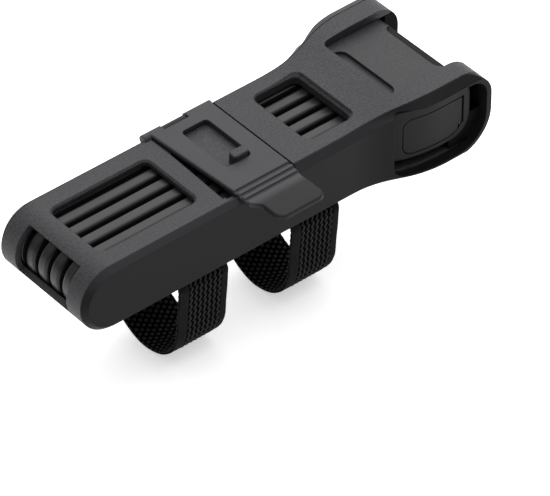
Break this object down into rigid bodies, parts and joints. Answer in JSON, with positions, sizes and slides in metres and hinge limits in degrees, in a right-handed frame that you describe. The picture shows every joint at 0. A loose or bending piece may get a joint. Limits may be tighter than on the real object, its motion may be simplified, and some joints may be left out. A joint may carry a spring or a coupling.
{
  "type": "folding bike lock in frame holster",
  "caption": "Steel link lock folded into a moulded holster, latched by a rubber flap and hung on a bicycle frame tube by two hook-and-loop straps.",
  "frame": {"origin": "on the axis of the frame tube the straps close round, midway between the outer edges of the two straps", "axes": "+X along the tube towards the lock's head, +Z out of the top of the holster, +Y to the far side, where the flap is hinged"},
  "size_m": [0.2075, 0.0848, 0.0883],
  "materials": {
    "case_plastic": "fine moulded grain",
    "cover_plastic": "smooth satin",
    "flap_rubber": "satin rubber with a fine texture",
    "pin_steel": "ground",
    "screw_steel": "blackened",
    "bridge_plastic": "moulded",
    "soft_rubber": "matt",
    "strap_fabric": "hook-and-loop pile with woven edges",
    "link_steel": "hardened, zinc plated",
    "sleeve_plastic": "soft-touch coating",
    "rivet_steel": "blackened",
    "head_plastic": "fine moulded grain",
    "cap_plastic": "satin",
    "cylinder_brass": "machined"
  },
  "bodies": {
    "holster": {"case_shell": "case_plastic", "side_cover_near": "cover_plastic", "side_cover_far": "cover_plastic", "latch_peg": "case_plastic", "flap_hinge_pin": "pin_steel", "strap_bridge_rear": "bridge_plastic", "strap_bridge_front": "bridge_plastic", "saddle_pad_rear": "soft_rubber", "saddle_pad_front": "soft_rubber", "strap_rear": "strap_fabric", "strap_front": "strap_fabric", "bridge_screws": "screw_steel"},
    "flap": {"latch_flap": "flap_rubber", "flap_pressure_pad": "flap_rubber"},
    "lock": {"lock_body": "head_plastic", "end_cap_far": "cap_plastic", "end_cap_near": "cap_plastic", "corner_bumper_near": "soft_rubber", "corner_bumper_far": "soft_rubber", "cylinder_housing": "cylinder_brass", "driver_pins": "cylinder_brass", "body_pivot_pin": "pin_steel", "keyway_cover_pin": "pin_steel", "link_1": "link_steel", "link_2": "link_steel", "link_3": "link_steel", "link_4": "link_steel", "link_5": "link_steel", "link_6": "link_steel", "link_sleeve_1": "sleeve_plastic", "link_sleeve_2": "sleeve_plastic", "link_sleeve_3": "sleeve_plastic", "link_sleeve_4": "sleeve_plastic", "link_sleeve_5": "sleeve_plastic", "link_sleeve_6": "sleeve_plastic", "fold_rivets_tip": "rivet_steel", "fold_rivets_head": "rivet_steel", "fold_washers_tip": "rivet_steel", "fold_washers_head": "rivet_steel"},
    "plug": {"cylinder_plug": "cylinder_brass", "key_pins": "cylinder_brass"},
    "bolt": {"locking_bolt": "pin_steel"},
    "keyway_flap": {"keyway_cover": "cap_plastic"}
  },
  "joints": [
    {"name": "lock_pull_out", "type": "slide", "parent": "holster", "child": "lock", "axis": [1, 0, 0], "range_m": [0, 0.17]},
    {"name": "latch_flap_hinge", "type": "hinge", "parent": "holster", "child": "flap", "pos_m": [-0.0033, 0.027, 0.05755], "axis": [-1, 0, 0], "range_deg": [0, 110]},
    {"name": "keyway_cover_hinge", "type": "hinge", "parent": "lock", "child": "keyway_flap", "pos_m": [0.1012, -0.03125, 0.0455], "axis": [0, 0, 1], "range_deg": [0, 100]},
    {"name": "key_turn", "type": "hinge", "parent": "lock", "child": "plug", "pos_m": [0.0977, -0.015, 0.045], "axis": [0, 1, 0], "range_deg": [0, 90]},
    {"name": "bolt_slide", "type": "slide", "parent": "lock", "child": "bolt", "axis": [0, 1, 0], "range_m": [0, 0.0054]}
  ],
  "couplings": [
    {"joint": "bolt_slide", "follows": "key_turn", "m_per_rad": 0.003437}
  ]
}
